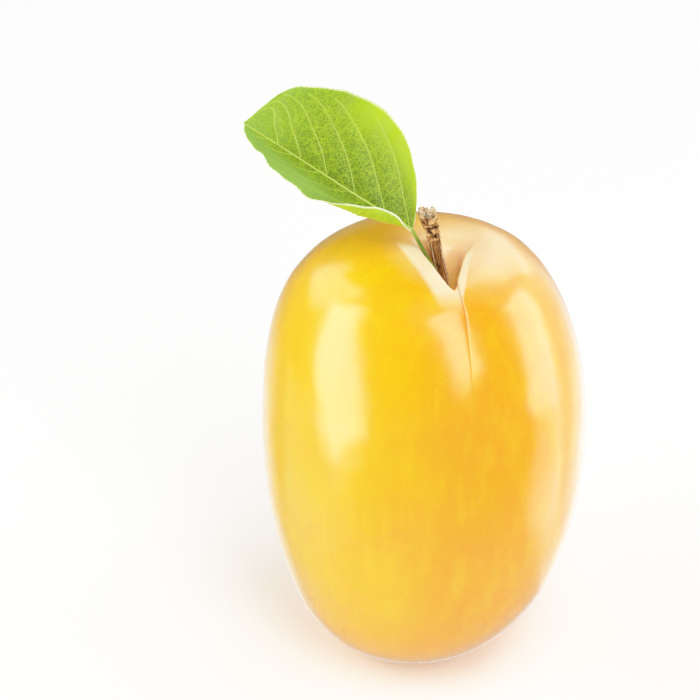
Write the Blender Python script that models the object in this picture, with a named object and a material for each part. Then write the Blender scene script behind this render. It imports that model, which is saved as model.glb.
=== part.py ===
"""An egg-shaped yellow plum with its woody stalk and one leaf.

The fruit stands upright on the small flat of its blossom end, whose centre is the origin. Its
suture, the seam between the two lobes, faces -Y. The stalk rises from the cavity in the top of
the fruit, and the leaf's own stalk is tucked into the cavity beside it. Metres, +Z up.
"""

import math

import bmesh
import bpy
from mathutils import Vector
from mathutils.geometry import interpolate_bezier

MM = 0.001

# The fruit: a turned egg profile with a cavity in its top.
FRUIT_RADIUS = 20.1 * MM
FRUIT_HEIGHT = 58 * MM
EQUATOR_HEIGHT = 0.55 * FRUIT_HEIGHT
SHOULDER_FULLNESS = 3.2
BASE_FULLNESS = 3.1
FLAT_RADIUS = 5 * MM
SIDEWAYS_BOW = 0.55 * MM
SWELLING_TOWARDS = Vector((-0.45, 0.05, 0.88)).normalized()
SWELLING_HEIGHT = 1.5 * MM
SWELLING_SPREAD = math.radians(30)
CAVITY_DEPTH = 6.2 * MM
CAVITY_RADIUS = 2.9 * MM
FUNNEL_DEPTH = 0.7 * MM
FUNNEL_RADIUS = 7 * MM
CAVITY_CENTRE = Vector((3.5, -1.6, 0)) * MM
RING_SPACING = 2.5 * MM
CAVITY_RING_SPACING = 0.75 * MM
CAVITY_RINGS_REACH = 9 * MM
FRUIT_SEGMENTS = 48

# The suture: a valley pressed into the fruit along one meridian, deepest at the cavity's rim.
SUTURE_AZIMUTH_AT_RIM = math.radians(-80)
SUTURE_TURN = math.radians(9)
SUTURE_TURN_ENDS = math.radians(30)
VALLEY_DEPTH = 2.9 * MM
LEFT_FLANK_WIDTH = 1.6 * MM
RIGHT_FLANK_WIDTH = 1.9 * MM
CREASE_DEPTH = 0.5 * MM
CREASE_HALF_WIDTH = 1.5 * MM
RIM_POLAR_ANGLE = math.radians(11)
VALLEY_FADE_ANGLE = math.radians(9)
CREASE_FADE_ANGLE = math.radians(42)

# The stalk: a snapped woody shoot, waisted below and knuckled at its end.
STALK_FOOT_FROM_FLOOR = Vector((-0.35, 0.1, 1.1)) * MM
STALK_TIP = Vector((0.5, -1.2, 63.4)) * MM
STALK_BEND = Vector((-0.35, 0.1, 0)) * MM
STALK_RADII = (
    (0, 0.85), (0.12, 0.76), (0.3, 0.7), (0.5, 0.72), (0.64, 0.94), (0.8, 1.08), (0.94, 1.12), (1, 0.95),
)
STALK_RINGS = 16
STALK_SEGMENTS = 14

# The leaf: one centreline runs up the leaf stalk and on along the blade's midrib.
LEAF_STALK_FOOT = Vector((1.65, -2.9, 55.4)) * MM
BLADE_BASE = Vector((-1.3, -1.6, 60.9)) * MM
BLADE_TIP = Vector((-21.8, 7.0, 70.3)) * MM
MIDRIB_START = Vector((-7.6, -2.0, 65.2)) * MM
MIDRIB_END = Vector((-15.2, 2.4, 68.6)) * MM
FAR_HALF_FACES = Vector((0.05, -0.85, 0.53))
FAR_HALF_WIDTH = 10.6 * MM
NEAR_HALF_WIDTH = 8.4 * MM
BASE_BLUNTNESS = 0.66
FAR_TIP_BLUNTNESS = 0.44
NEAR_TIP_BLUNTNESS = 0.75
FOLD_AT_BASE = math.radians(60)
FOLD_AT_TIP = math.radians(74)
CAMBER_ANGLE = math.radians(14)
ROLL_ANGLE = math.radians(118)
ROLL_LENGTH = 3.2 * MM
ROLL_STATION = 0.2
ROLL_SPREAD = 0.18
BLADE_HALF_THICKNESS = 0.18 * MM
LEAF_STALK_RADIUS = 0.28 * MM
MIDRIB_HEIGHT = 0.14 * MM
STALK_STATIONS = 7
BLADE_STATIONS = 27
BLADE_STEPS_PER_HALF = 8
ARC_STEPS = 24


def smoothstep(share):
    """0 below 0, 1 above 1, and a smooth rise between."""
    share = min(1, max(0, share))
    return share * share * (3 - 2 * share)


def material(name, colour, roughness, subsurface=0.0):
    """A Principled material of one plain colour, given as linear RGB."""
    made = bpy.data.materials.new(name)
    made.use_nodes = True
    shader = made.node_tree.nodes["Principled BSDF"]
    shader.inputs["Base Color"].default_value = (*colour, 1)
    shader.inputs["Roughness"].default_value = roughness
    shader.inputs["Metallic"].default_value = 0
    shader.inputs["Subsurface Weight"].default_value = subsurface
    made.diffuse_color = (*colour, 1)
    return made


def placed(name, bm, finish):
    """Turns the bmesh into a smooth-shaded object of that name."""
    bmesh.ops.recalc_face_normals(bm, faces=bm.faces)
    mesh = bpy.data.meshes.new(name)
    bm.to_mesh(mesh)
    bm.free()
    mesh.shade_smooth()
    mesh.set_sharp_from_angle(angle=math.radians(50))
    mesh.materials.append(finish)
    made = bpy.data.objects.new(name, mesh)
    bpy.context.scene.collection.objects.link(made)
    return made


# ---- Fruit ------------------------------------------------------------------------------------


def cavity_drop(radius):
    """How far the cavity and its soft funnel lie below the uncut shoulder at that radius."""
    cavity = CAVITY_DEPTH * math.exp(-((radius / CAVITY_RADIUS) ** 3))
    funnel = FUNNEL_DEPTH * math.exp(-((radius / FUNNEL_RADIUS) ** 2))
    return cavity + funnel


def shoulder_height(radius):
    """Height of the fruit's upper half at that radius."""
    fullness = (radius / FRUIT_RADIUS) ** SHOULDER_FULLNESS
    dome = (FRUIT_HEIGHT - EQUATOR_HEIGHT) * math.sqrt(max(0, 1 - fullness))
    return EQUATOR_HEIGHT + dome - cavity_drop(radius)


def underside_height(radius):
    """Height of the fruit's lower half at that radius, 0 at the edge of the flat."""
    fullness = 1 - (radius / FRUIT_RADIUS) ** BASE_FULLNESS
    fullness_at_flat = 1 - (FLAT_RADIUS / FRUIT_RADIUS) ** BASE_FULLNESS
    return EQUATOR_HEIGHT * (1 - math.sqrt(max(0, fullness) / fullness_at_flat))


def fruit_profile():
    """(radius, height) points from the cavity's floor, over its rim, to the flat."""
    fine = 600
    radii = [FRUIT_RADIUS * math.sin(math.pi / 2 * i / fine) for i in range(fine + 1)]
    curve = [Vector((r, shoulder_height(r))) for r in radii]
    curve += [Vector((r, underside_height(r))) for r in reversed(radii[:-1]) if r > FLAT_RADIUS]
    curve.append(Vector((FLAT_RADIUS, 0)))
    length = 0.0
    ring_counts = [0.0]
    for start, end in zip(curve, curve[1:]):
        step = (end - start).length
        length += step
        wide = smoothstep(length / CAVITY_RINGS_REACH - 1)
        spacing = CAVITY_RING_SPACING + (RING_SPACING - CAVITY_RING_SPACING) * wide
        ring_counts.append(ring_counts[-1] + step / spacing)
    rings = round(ring_counts[-1])
    points = []
    i = 0
    for ring in range(rings + 1):
        wanted = ring_counts[-1] * ring / rings
        while i < len(curve) - 2 and ring_counts[i + 1] < wanted:
            i += 1
        share = (wanted - ring_counts[i]) / (ring_counts[i + 1] - ring_counts[i])
        points.append(curve[i].lerp(curve[i + 1], share))
    return points


def suture_depth(polar, distance):
    """How deep the suture is pressed in, by angle from the fruit's axis and distance from the seam."""
    entry = smoothstep(polar / RIM_POLAR_ANGLE)
    below_rim = max(0, polar - RIM_POLAR_ANGLE)
    flank = LEFT_FLANK_WIDTH if distance < 0 else RIGHT_FLANK_WIDTH
    valley = VALLEY_DEPTH * math.exp(-((below_rim / VALLEY_FADE_ANGLE) ** 2) - abs(distance) / flank)
    crease = CREASE_DEPTH * math.exp(
        -((below_rim / CREASE_FADE_ANGLE) ** 2) - abs(distance) / CREASE_HALF_WIDTH
    )
    return entry * (valley + crease)


def pressed(point):
    """Moves a point of the turned fruit, whose seam lies along +X, to its place on the real one."""
    radius = math.hypot(point.x, point.y)
    from_seam = math.atan2(point.y, point.x)
    core = Vector((0, 0, EQUATOR_HEIGHT))
    polar = math.atan2(radius, point.z - EQUATOR_HEIGHT)
    azimuth = from_seam + SUTURE_AZIMUTH_AT_RIM + SUTURE_TURN * smoothstep(polar / SUTURE_TURN_ENDS)
    moved = Vector((radius * math.cos(azimuth), radius * math.sin(azimuth), point.z))
    outwards = (moved - core).normalized()
    swelling = SWELLING_HEIGHT * math.exp(-((outwards.angle(SWELLING_TOWARDS) / SWELLING_SPREAD) ** 2))
    moved += outwards * (swelling - suture_depth(polar, radius * from_seam))
    moved.x += SIDEWAYS_BOW * math.sin(math.pi * point.z / FRUIT_HEIGHT)
    if point.z > EQUATOR_HEIGHT:
        moved += CAVITY_CENTRE * (1 - smoothstep(radius / FRUIT_RADIUS))
    return moved


def fruit():
    """The fruit's profile turned about Z, then pressed along its suture."""
    bm = bmesh.new()
    points = [bm.verts.new((p.x, 0, p.y)) for p in fruit_profile()]
    points.append(bm.verts.new((0, 0, 0)))
    edges = [bm.edges.new(pair) for pair in zip(points, points[1:])]
    bmesh.ops.spin(
        bm, geom=points + edges, cent=(0, 0, 0), axis=(0, 0, 1), angle=math.tau,
        steps=FRUIT_SEGMENTS, use_merge=True,
    )
    bmesh.ops.remove_doubles(bm, verts=bm.verts, dist=0.001 * MM)
    for vertex in bm.verts:
        if vertex.co.z > 0:
            vertex.co = pressed(vertex.co)
    skin = material("plum_skin", (0.90, 0.52, 0.03), 0.32, subsurface=0.3)
    return placed("fruit", bm, skin)


# ---- Stalk and leaf ---------------------------------------------------------------------------


def lofted(name, rings, finish):
    """Joins rings of points, all of one count, into a closed body with a cap at each end."""
    bm = bmesh.new()
    loops = [[bm.verts.new(point) for point in ring] for ring in rings]
    for lower, upper in zip(loops, loops[1:]):
        for i in range(len(lower)):
            bm.faces.new((lower[i - 1], lower[i], upper[i], upper[i - 1]))
    bm.faces.new(loops[0])
    bm.faces.new(loops[-1])
    return placed(name, bm, finish)


def between(table, share):
    """Linear interpolation in a short table of (share, value) pairs."""
    for (start, low), (end, high) in zip(table, table[1:]):
        if share <= end:
            return low + (high - low) * (share - start) / (end - start)
    return table[-1][1]


def stalk():
    """The woody stalk, from just above the cavity's floor to its snapped tip."""
    foot = pressed(Vector((0, 0, shoulder_height(0)))) + STALK_FOOT_FROM_FLOOR
    curve = interpolate_bezier(
        foot, foot.lerp(STALK_TIP, 0.33) + STALK_BEND,
        foot.lerp(STALK_TIP, 0.66) + STALK_BEND, STALK_TIP, STALK_RINGS,
    )
    rings = []
    for i, centre in enumerate(curve):
        radius = between(STALK_RADII, i / (len(curve) - 1)) * MM
        turns = [math.tau * j / STALK_SEGMENTS for j in range(STALK_SEGMENTS)]
        rings.append([centre + Vector((math.cos(a), math.sin(a), 0)) * radius for a in turns])
    bark = material("stalk_bark", (0.22, 0.12, 0.05), 0.8)
    return lofted("stalk", rings, bark)


def leaf_centreline():
    """Points along the leaf stalk and the midrib, each with its share of the stalk and blade."""
    stalk_points = interpolate_bezier(
        LEAF_STALK_FOOT, LEAF_STALK_FOOT.lerp(BLADE_BASE, 0.35),
        LEAF_STALK_FOOT.lerp(BLADE_BASE, 0.75), BLADE_BASE, STALK_STATIONS + 1,
    )
    blade_points = interpolate_bezier(
        BLADE_BASE, MIDRIB_START, MIDRIB_END, BLADE_TIP, BLADE_STATIONS + 1
    )
    line = [(point, i / STALK_STATIONS, 0.0) for i, point in enumerate(stalk_points[:-1])]
    line += [(point, 1.0, i / BLADE_STATIONS) for i, point in enumerate(blade_points)]
    return line


def half_width(share, widest, tip_bluntness):
    """Distance from the midrib to the margin at that share of the blade's length."""
    bluntness = BASE_BLUNTNESS + (tip_bluntness - BASE_BLUNTNESS) * share
    outline = math.sin(math.pi * min(max(share, 0.001), 0.999)) ** bluntness
    return max(LEAF_STALK_RADIUS, widest * outline)


def half_section(width, fold, roll):
    """Where one half of the blade lies across the midrib: (across, up) at even steps outwards."""
    points = [(0.0, 0.0)]
    across = up = 0.0
    step = width / (BLADE_STEPS_PER_HALF * ARC_STEPS)
    for i in range(BLADE_STEPS_PER_HALF * ARC_STEPS):
        out = (i + 0.5) * step
        angle = fold - CAMBER_ANGLE * out / FAR_HALF_WIDTH
        angle += roll * smoothstep(1 - (width - out) / ROLL_LENGTH)
        across += math.cos(angle) * step
        up += math.sin(angle) * step
        if (i + 1) % ARC_STEPS == 0:
            points.append((across, up))
    return points


def leaf_ring(point, along, up_stalk, share):
    """One closed cross-section of the leaf: its upper face, then back along its underside."""
    across = along.cross(FAR_HALF_FACES).normalized()
    facing = across.cross(along)
    far_width = half_width(share, FAR_HALF_WIDTH, FAR_TIP_BLUNTNESS)
    near_width = half_width(share, NEAR_HALF_WIDTH, NEAR_TIP_BLUNTNESS)
    fold = (FOLD_AT_BASE + (FOLD_AT_TIP - FOLD_AT_BASE) * share) * smoothstep(up_stalk)
    roll = ROLL_ANGLE * math.exp(-(((share - ROLL_STATION) / ROLL_SPREAD) ** 2))
    roll *= smoothstep(near_width / LEAF_STALK_RADIUS - 1)
    near = half_section(near_width, fold, roll)
    row = [(-a, u) for a, u in reversed(near)] + half_section(far_width, 0, 0)[1:]
    rib = MIDRIB_HEIGHT * (1 - 0.6 * share)
    upper, under = [], []
    for i, (a, u) in enumerate(row):
        before, after = row[max(0, i - 1)], row[min(len(row) - 1, i + 1)]
        slope = Vector((after[0] - before[0], after[1] - before[1])).normalized()
        normal = across * -slope.y + facing * slope.x
        out = 2 * i / (len(row) - 1) - 1
        edge = math.sqrt(max(0.0, 1 - out**6))
        width = far_width if out > 0 else near_width
        at_rib = math.exp(-((out * width / (2 * LEAF_STALK_RADIUS)) ** 2))
        middle = point + across * a + facing * u
        upper.append(middle + normal * BLADE_HALF_THICKNESS * edge)
        under.append(middle - normal * (BLADE_HALF_THICKNESS + rib * at_rib) * edge)
    return upper + under[-2:0:-1]


def leaf():
    """The leaf's stalk and blade, lofted as one thin closed body."""
    line = leaf_centreline()
    rings = []
    for i, (point, up_stalk, share) in enumerate(line):
        along = (line[min(i + 1, len(line) - 1)][0] - line[max(i - 1, 0)][0]).normalized()
        rings.append(leaf_ring(point, along, up_stalk, share))
    blade = material("leaf_green", (0.30, 0.52, 0.03), 0.45, subsurface=0.1)
    return lofted("leaf", rings, blade)


for old in list(bpy.data.objects):
    bpy.data.objects.remove(old)
fruit()
stalk()
leaf()
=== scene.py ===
# %% [markdown]
# # A yellow egg plum with its stalk and leaf
#
# This lesson dresses a plain CAD model of a plum with everything that makes a plum look alive: waxy
# skin with breathing pores, a seam between its two lobes, a dry snapped stalk, and a leaf with teeth,
# veins and a rolled edge. The CAD model stays the physical frame. Each cell below makes one thing and
# prints what it made. Sizes are in metres, +Z is up, and the plum stands at the origin.

# %% Load the frame
import math

import bpy
import numpy as np
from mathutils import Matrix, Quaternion, Vector, noise
from mathutils.geometry import interpolate_bezier


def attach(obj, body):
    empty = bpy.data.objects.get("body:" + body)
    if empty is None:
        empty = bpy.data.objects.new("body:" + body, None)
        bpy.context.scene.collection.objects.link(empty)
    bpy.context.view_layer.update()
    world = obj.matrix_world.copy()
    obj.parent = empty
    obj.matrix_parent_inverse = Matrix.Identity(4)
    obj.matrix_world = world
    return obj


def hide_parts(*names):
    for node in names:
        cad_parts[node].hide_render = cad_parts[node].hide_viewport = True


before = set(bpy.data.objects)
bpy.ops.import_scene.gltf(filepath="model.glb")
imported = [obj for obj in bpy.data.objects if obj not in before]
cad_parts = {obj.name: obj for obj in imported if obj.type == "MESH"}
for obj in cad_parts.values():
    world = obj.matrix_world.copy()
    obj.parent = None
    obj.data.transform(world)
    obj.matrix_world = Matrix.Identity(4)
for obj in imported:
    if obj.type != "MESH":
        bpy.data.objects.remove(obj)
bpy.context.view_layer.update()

MM = 0.001


def placed(name, data):
    """A new object in the scene."""
    made = bpy.data.objects.new(name, data)
    bpy.context.scene.collection.objects.link(made)
    return made


# %% [markdown]
# ## Camera
#
# A long lens, about a forearm's height above the table, looks down at 34 degrees. A long lens keeps the
# egg shape true: its near side isn't swollen. The camera comes first, because everything after it is
# judged through it.

# %% Set up the camera
CAMERA_PLACE = Vector((0, -0.32766, 0.26043))
CAMERA_AIM = Vector((-0.00884, 0.00536, 0.03895))
SENSOR_WIDTH, LENS, NEAREST_SEEN = 36, 165.2, 0.01

camera = placed("camera", bpy.data.cameras.new("camera"))
camera.data.sensor_width = SENSOR_WIDTH
camera.data.lens = LENS
camera.data.clip_start = NEAREST_SEEN
camera.location = CAMERA_PLACE
looking = CAMERA_AIM - CAMERA_PLACE
camera.rotation_euler = looking.to_track_quat("-Z", "Y").to_euler()
bpy.context.scene.camera = camera
print("camera looks down", round(math.degrees(math.asin(-looking.normalized().z))), "degrees")

# %% [markdown]
# ## Two helpers for node trees
#
# Shader trees and Geometry Nodes trees are both made of nodes with numbered inputs. One function adds a
# node of any kind, fills its inputs in order and hands back one of its outputs, so a chain of nodes
# reads like a sum. Kinds of node that come back often have short names, some with a setting that goes
# with them. Colours are picked as the hex values a painting program shows, and one function turns them
# into the linear light that a shader works in.

# %% Node and colour helpers
MATH, VECTOR, RAMP = "ShaderNodeMath", "ShaderNodeVectorMath", "ShaderNodeMapRange"
MIX, NOISE, SPLIT = "ShaderNodeMix", "ShaderNodeTexNoise", "ShaderNodeSeparateXYZ"
JOIN, BUMP, SURFACE = "ShaderNodeCombineXYZ", "ShaderNodeBump", "ShaderNodeBsdfPrincipled"
OUTPUT, ATTRIBUTE = "ShaderNodeOutputMaterial", "ShaderNodeAttribute"
PLUS, MINUS = (MATH, {"operation": "ADD"}), (MATH, {"operation": "SUBTRACT"})
TIMES, OVER = (MATH, {"operation": "MULTIPLY"}), (MATH, {"operation": "DIVIDE"})
POWER, LARGER = (MATH, {"operation": "POWER"}), (MATH, {"operation": "MAXIMUM"})
TIMES_PLUS = (MATH, {"operation": "MULTIPLY_ADD"})
VECTOR_PLUS, VECTOR_MINUS = (VECTOR, {"operation": "ADD"}), (VECTOR, {"operation": "SUBTRACT"})
SMOOTH_RAMP = (RAMP, {"interpolation_type": "SMOOTHSTEP"})
OF_COLOURS = dict(data_type="RGBA", out=2)


def add(tree, kind, *feeds, named=None, out=0, **settings):
    """Adds a node, with its settings, inputs in order and by name, and returns one output."""
    kind, always = kind if isinstance(kind, tuple) else (kind, {})
    made = tree.nodes.new(kind)
    for name, value in {**always, **settings}.items():
        setattr(made, name, value)
    for place, value in [*enumerate(feeds), *(named or {}).items()]:
        if isinstance(value, bpy.types.NodeSocket):
            tree.links.new(value, made.inputs[place])
        elif value is not None:
            made.inputs[place].default_value = value
    return made.outputs[out] if made.outputs else made


def linear(hex_colour):
    """An sRGB hex colour as linear RGBA."""
    channels = [int(hex_colour[i : i + 2], 16) / 255 for i in (1, 3, 5)]
    return (*[c / 12.92 if c <= 0.04045 else ((c + 0.055) / 1.055) ** 2.4 for c in channels], 1.0)


print("a ripe yellow in linear light:", [round(c, 3) for c in linear("#f7b50c")])

# %% [markdown]
# ## Helpers for grown pieces
#
# A piece made by Geometry Nodes starts as a tree with named sizes. The tree is run once on a seed
# object, its result becomes an ordinary mesh, and the seed is thrown away, so nothing is left that
# could change later. `finished` puts any mesh on the plum's body, hides the CAD node it may stand
# for, and prints its size.

# %% Make trees and turn them into pieces
def new_tree(name, sizes):
    """An empty Geometry Nodes tree with a named input for each size, and its sockets by name."""
    tree = bpy.data.node_groups.new(name, "GeometryNodeTree")
    tree.interface.new_socket("Geometry", in_out="OUTPUT", socket_type="NodeSocketGeometry")
    tree.interface.new_socket("Geometry", in_out="INPUT", socket_type="NodeSocketGeometry")
    for label, value in sizes.items():
        kind = "NodeSocketInt" if isinstance(value, int) else "NodeSocketFloat"
        tree.interface.new_socket(label, in_out="INPUT", socket_type=kind)
    inputs = tree.nodes.new("NodeGroupInput")
    return tree, {socket.name: socket for socket in inputs.outputs if socket.name}


def close_tree(tree, geometry, finish):
    """Ends a tree: smooth shading, real geometry, its material, and the way out."""
    smooth = add(tree, "GeometryNodeSetShadeSmooth", geometry)
    real = add(tree, "GeometryNodeRealizeInstances", smooth)
    add(tree, "NodeGroupOutput", add(tree, "GeometryNodeSetMaterial", real, named={"Material": finish}))


def grown(name, tree, sizes, seed_data):
    """Runs the tree on a seed mesh or curve, and returns the result as a plain mesh object."""
    seed = placed(name + "_seed", seed_data)
    modifier = seed.modifiers.new(name, "NODES")
    modifier.node_group = tree
    for socket in tree.interface.items_tree:
        if socket.in_out == "INPUT" and socket.name in sizes:
            modifier[socket.identifier] = sizes[socket.name]
    shown = seed.evaluated_get(bpy.context.evaluated_depsgraph_get())
    mesh = bpy.data.meshes.new_from_object(shown)
    mesh.name = name
    bpy.data.objects.remove(seed)
    return placed(name, mesh)


def finished(piece, node=None):
    """The piece rides on the plum and may stand for a CAD node."""
    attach(piece, "root")
    if node:
        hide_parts(node)
    piece.data.calc_loop_triangles()
    print(piece.name, len(piece.data.loop_triangles), "triangles,",
          [round(d / MM, 1) for d in piece.dimensions], "mm")


print("helpers ready")

# %% [markdown]
# ## Skin material: ripe plum skin with its wax
#
# A plum's skin is a thin clear cuticle over wet yellow flesh. Light goes a few millimetres into the
# flesh and comes out warmer, which is what subsurface scattering does. The cuticle is a wax, so its
# gloss is clear but soft. Round the stalk cavity the wax is still there as bloom, a pale powder that
# dulls the gloss; the pale patch there is partly painted sheen, for light that the top mirrors, and the
# pale bands along the cavity's lips are painted highlights. The pit is paler skin, painted paler still
# to lift its shade. The flesh under it is made of fibres that run from the stalk to the tip, so the
# colour varies in streaks, and the side that hung in the sun is more orange than the other. The
# patterns are laid out in millimetres.

# %% Mix the skin
def new_material(name):
    """A material with an empty tree, and that tree."""
    made = bpy.data.materials.new(name)
    made.use_nodes = True
    made.node_tree.nodes.clear()
    return made, made.node_tree


STREAK_WIDTH, STREAK_LENGTH, BLOTCH_SIZE, PORE_SIZE = 2.2, 10, 7 * MM, 0.45 * MM

plum_skin, t = new_material("waxy_plum_skin")
place = add(t, "ShaderNodeTexCoord", out=3)
x, _, z = add(t, SPLIT, place).node.outputs
stretch = (1 / STREAK_WIDTH, 1 / STREAK_WIDTH, 1 / STREAK_LENGTH)
streaks = add(t, NOISE, add(t, "ShaderNodeMapping", place, named={"Scale": stretch}),
              named={"Scale": 1 / MM, "Detail": 3.0, "Roughness": 0.6, "Distortion": 0.4})
blotches = add(t, NOISE, place, named={"Scale": 1 / BLOTCH_SIZE, "Detail": 2.0})

sun_side = add(t, SMOOTH_RAMP, x, -14 * MM, 12 * MM, 0.0, 1.0)
sun_side = add(t, PLUS, sun_side, add(t, MINUS, blotches, 0.5))
shade_side = add(t, MINUS, 1.0, sun_side, use_clamp=True)
fibre_share = add(t, RAMP, streaks, 0.45, 0.75, 0.0, 0.4)
green_share = add(t, TIMES, add(t, RAMP, streaks, 0.5, 0.3, 0.0, 0.5), shade_side)
tip_share = add(t, SMOOTH_RAMP, z, 22 * MM, 2 * MM, 0.0, 0.55)
bloom_and_sheen, lip_highlight, in_cavity, on_seam = (
    add(t, ATTRIBUTE, attribute_name=name, out=2) for name in ("bloom_and_sheen", "lip_highlight", "in_cavity", "on_seam"))
# Real wax bloom mixed with painted sheen where the top mirrors light; the lip bands are painted highlights.
bloom_and_sheen_share = add(t, RAMP, bloom_and_sheen, 0.1, 0.9, 0.0, 0.62)
bloom_and_sheen_share = add(t, LARGER, bloom_and_sheen_share, add(t, TIMES, lip_highlight, 0.85))
cavity_share = add(t, RAMP, in_cavity, 0.1, 0.7, 0.0, 0.85)
seam_share = add(t, TIMES, on_seam, 0.3)

flesh = add(t, MIX, sun_side, named={6: linear("#f2b604"), 7: linear("#f4a102")}, **OF_COLOURS)
for share, colour in (
    (fibre_share, "#fbca0e"),  # pale fibres
    (green_share, "#dcbc0c"),  # streaks that are still a little green, on the shaded side
    (tip_share, "#f29e26"),  # a riper tip
    # Cream over the bloom patch and the lip bands: wax bloom, with painted sheen and painted highlights.
    (bloom_and_sheen_share, "#fde2bc"),  # cream bloom
    # The pit is paler skin, painted paler still to lift its shade.
    (cavity_share, "#ffdc82"),  # pale skin that the sun never reached
    (seam_share, "#a0660c"),  # a brown hairline along the seam
):
    flesh = add(t, MIX, share, named={6: flesh, 7: linear(colour)}, **OF_COLOURS)

pores = add(t, NOISE, place, named={"Scale": 1 / PORE_SIZE, "Detail": 2.0})
relief = add(t, PLUS, pores, add(t, TIMES, streaks, 1.5))
bumps = add(t, BUMP, named={"Strength": 0.12, "Distance": 0.05 * MM, "Height": relief})
gloss = add(t, RAMP, blotches, 0.3, 0.7, 0.2, 0.28)
waxed = add(t, TIMES_PLUS, bloom_and_sheen_share, -0.8, 1.0)
skin = add(t, SURFACE, named={
    "Base Color": flesh, "Roughness": gloss, "IOR": 1.45, "Normal": bumps,
    "Subsurface Weight": 0.35, "Subsurface Radius": (1.0, 0.5, 0.12), "Subsurface Scale": 2.5 * MM,
    "Coat Weight": waxed, "Coat Roughness": 0.2, "Coat IOR": 1.5,
})
add(t, OUTPUT, skin)
print("skin nodes:", len(t.nodes))

# %% [markdown]
# ## The fruit's shape as a rule
#
# A plum is nearly a solid of revolution: an egg profile turned about its axis. The profile here is a
# superellipse, which is an ellipse whose power can be raised to square its shoulders, with one power
# above the widest ring and another below. It could be drawn as a curve and spun. A rule is better,
# because the same few numbers then shape the CAD and this fine skin, and because the points can be
# crowded where the shape is tight: round the stalk cavity and along the seam.
#
# The tree starts from a flat grid. One direction of the grid becomes the way round the fruit, and the
# other the way down its profile.

# %% Lay the grid round the fruit
BODY_SIZES = {
    "Columns": 321, "Rings": 250,
    "Radius": 20.1 * MM, "Height": 58 * MM, "Widest at": 31.9 * MM, "Flat radius": 5 * MM,
    "Cavity depth": 6.4 * MM, "Cavity radius": 2.2 * MM,
    "Funnel depth": 0.7 * MM, "Funnel radius": 7 * MM,
    "Valley depth": 0.5 * MM, "Right lobe step": 0.3 * MM, "Seam depth": 0.08 * MM,
    "Swelling": 1.5 * MM, "Unevenness": 0.5 * MM, "Lip drop": 2.2 * MM,
}
SEAM_CROWDING, TOP_CROWDING = 1.6, 1.35

body, size = new_tree("plum_body", BODY_SIZES)
grid = add(body, "GeometryNodeMeshGrid", 1.0, 1.0, size["Columns"], size["Rings"])
grid_x, grid_y, _ = add(body, SPLIT, add(body, "GeometryNodeInputPosition")).node.outputs

off_seam = add(body, TIMES, add(body, MATH, grid_x, operation="ABSOLUTE"), 2.0)
crowding = add(body, TIMES_PLUS, add(body, POWER, off_seam, SEAM_CROWDING), 0.88, 0.12)
from_seam = add(body, TIMES, add(body, TIMES, grid_x, crowding), math.tau)
down = add(body, MINUS, 0.5, grid_y, use_clamp=True)
down = add(body, TIMES, add(body, POWER, down, TOP_CROWDING), math.pi)
reach = add(body, MATH, down, operation="SINE", use_clamp=True)
radius = add(body, TIMES, reach, size["Radius"])
is_upper = add(body, MATH, down, math.pi / 2, operation="LESS_THAN")
print("grid:", BODY_SIZES["Columns"], "columns by", BODY_SIZES["Rings"], "rings")

# %% [markdown]
# The height of each ring follows from its radius. Above the widest ring the superellipse's power is
# 3.2, below it 3.1. A shallow bell-shaped funnel dips the middle of the top. Below, the profile is cut
# off level where it would pass under the table. Two small rules do this: the superellipse, and a bell
# that falls from 1 to 0 with distance, which comes back further on.

# %% Work out each ring's height
SHOULDER_POWER, BASE_POWER = 3.2, 3.1


def squared_off(power):
    """A superellipse before its square root: 1 on the axis, 0 at the widest ring."""
    return add(body, MINUS, 1.0, add(body, POWER, reach, power), use_clamp=True)


def bell(distance, width, power):
    """1 at no distance, falling to 0 beyond the width."""
    share = add(body, POWER, add(body, OVER, distance, width), power)
    return add(body, MATH, add(body, TIMES, share, -1.0), operation="EXPONENT")


funnel = add(body, TIMES, bell(radius, size["Funnel radius"], 2.0), size["Funnel depth"])
dome = add(body, MATH, squared_off(SHOULDER_POWER), operation="SQRT")
dome_height = add(body, MINUS, size["Height"], size["Widest at"])
upper = add(body, TIMES_PLUS, dome, dome_height, size["Widest at"])
upper = add(body, MINUS, upper, funnel)

flat_share = add(body, OVER, size["Flat radius"], size["Radius"])
flat_share = add(body, POWER, flat_share, BASE_POWER)
bowl = add(body, OVER, squared_off(BASE_POWER), add(body, MINUS, 1.0, flat_share))
bowl = add(body, MINUS, 1.0, add(body, MATH, bowl, operation="SQRT"), use_clamp=True)
lower = add(body, TIMES, bowl, size["Widest at"])
height = add(body, TIMES_PLUS, is_upper, add(body, MINUS, upper, lower), lower)
print("profile nodes so far:", len(body.nodes))

# %% [markdown]
# A real plum isn't quite round. The suture, the seam between its two lobes, is pressed in: a shallow
# valley where it leaves the stalk cavity, and a hairline seam that runs on below. The right lobe
# stands a little proud of the left one. The seam wanders a little round the fruit on its way down. How
# deep it is pressed depends on the angle from the fruit's axis and on the distance from the seam.

# %% Press in the suture
SEAM_AZIMUTH, SEAM_WANDERS, WANDERS_OVER = math.radians(-80), math.radians(9), math.radians(30)
RIM_ANGLE, SEAM_WIDTH = math.radians(11), 0.13 * MM

above_widest = add(body, MINUS, height, size["Widest at"])
polar = add(body, MATH, radius, above_widest, operation="ARCTAN2")
wander = add(body, SMOOTH_RAMP, polar, 0.0, WANDERS_OVER, SEAM_AZIMUTH, SEAM_AZIMUTH + SEAM_WANDERS)
azimuth = add(body, PLUS, from_seam, wander)
turned_x = add(body, TIMES, radius, add(body, MATH, azimuth, operation="COSINE"))
turned_y = add(body, TIMES, radius, add(body, MATH, azimuth, operation="SINE"))
turned = add(body, JOIN, turned_x, turned_y, height)
core = add(body, JOIN, 0.0, 0.0, size["Widest at"])
outwards = add(body, VECTOR, add(body, VECTOR_MINUS, turned, core), operation="NORMALIZE")

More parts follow.
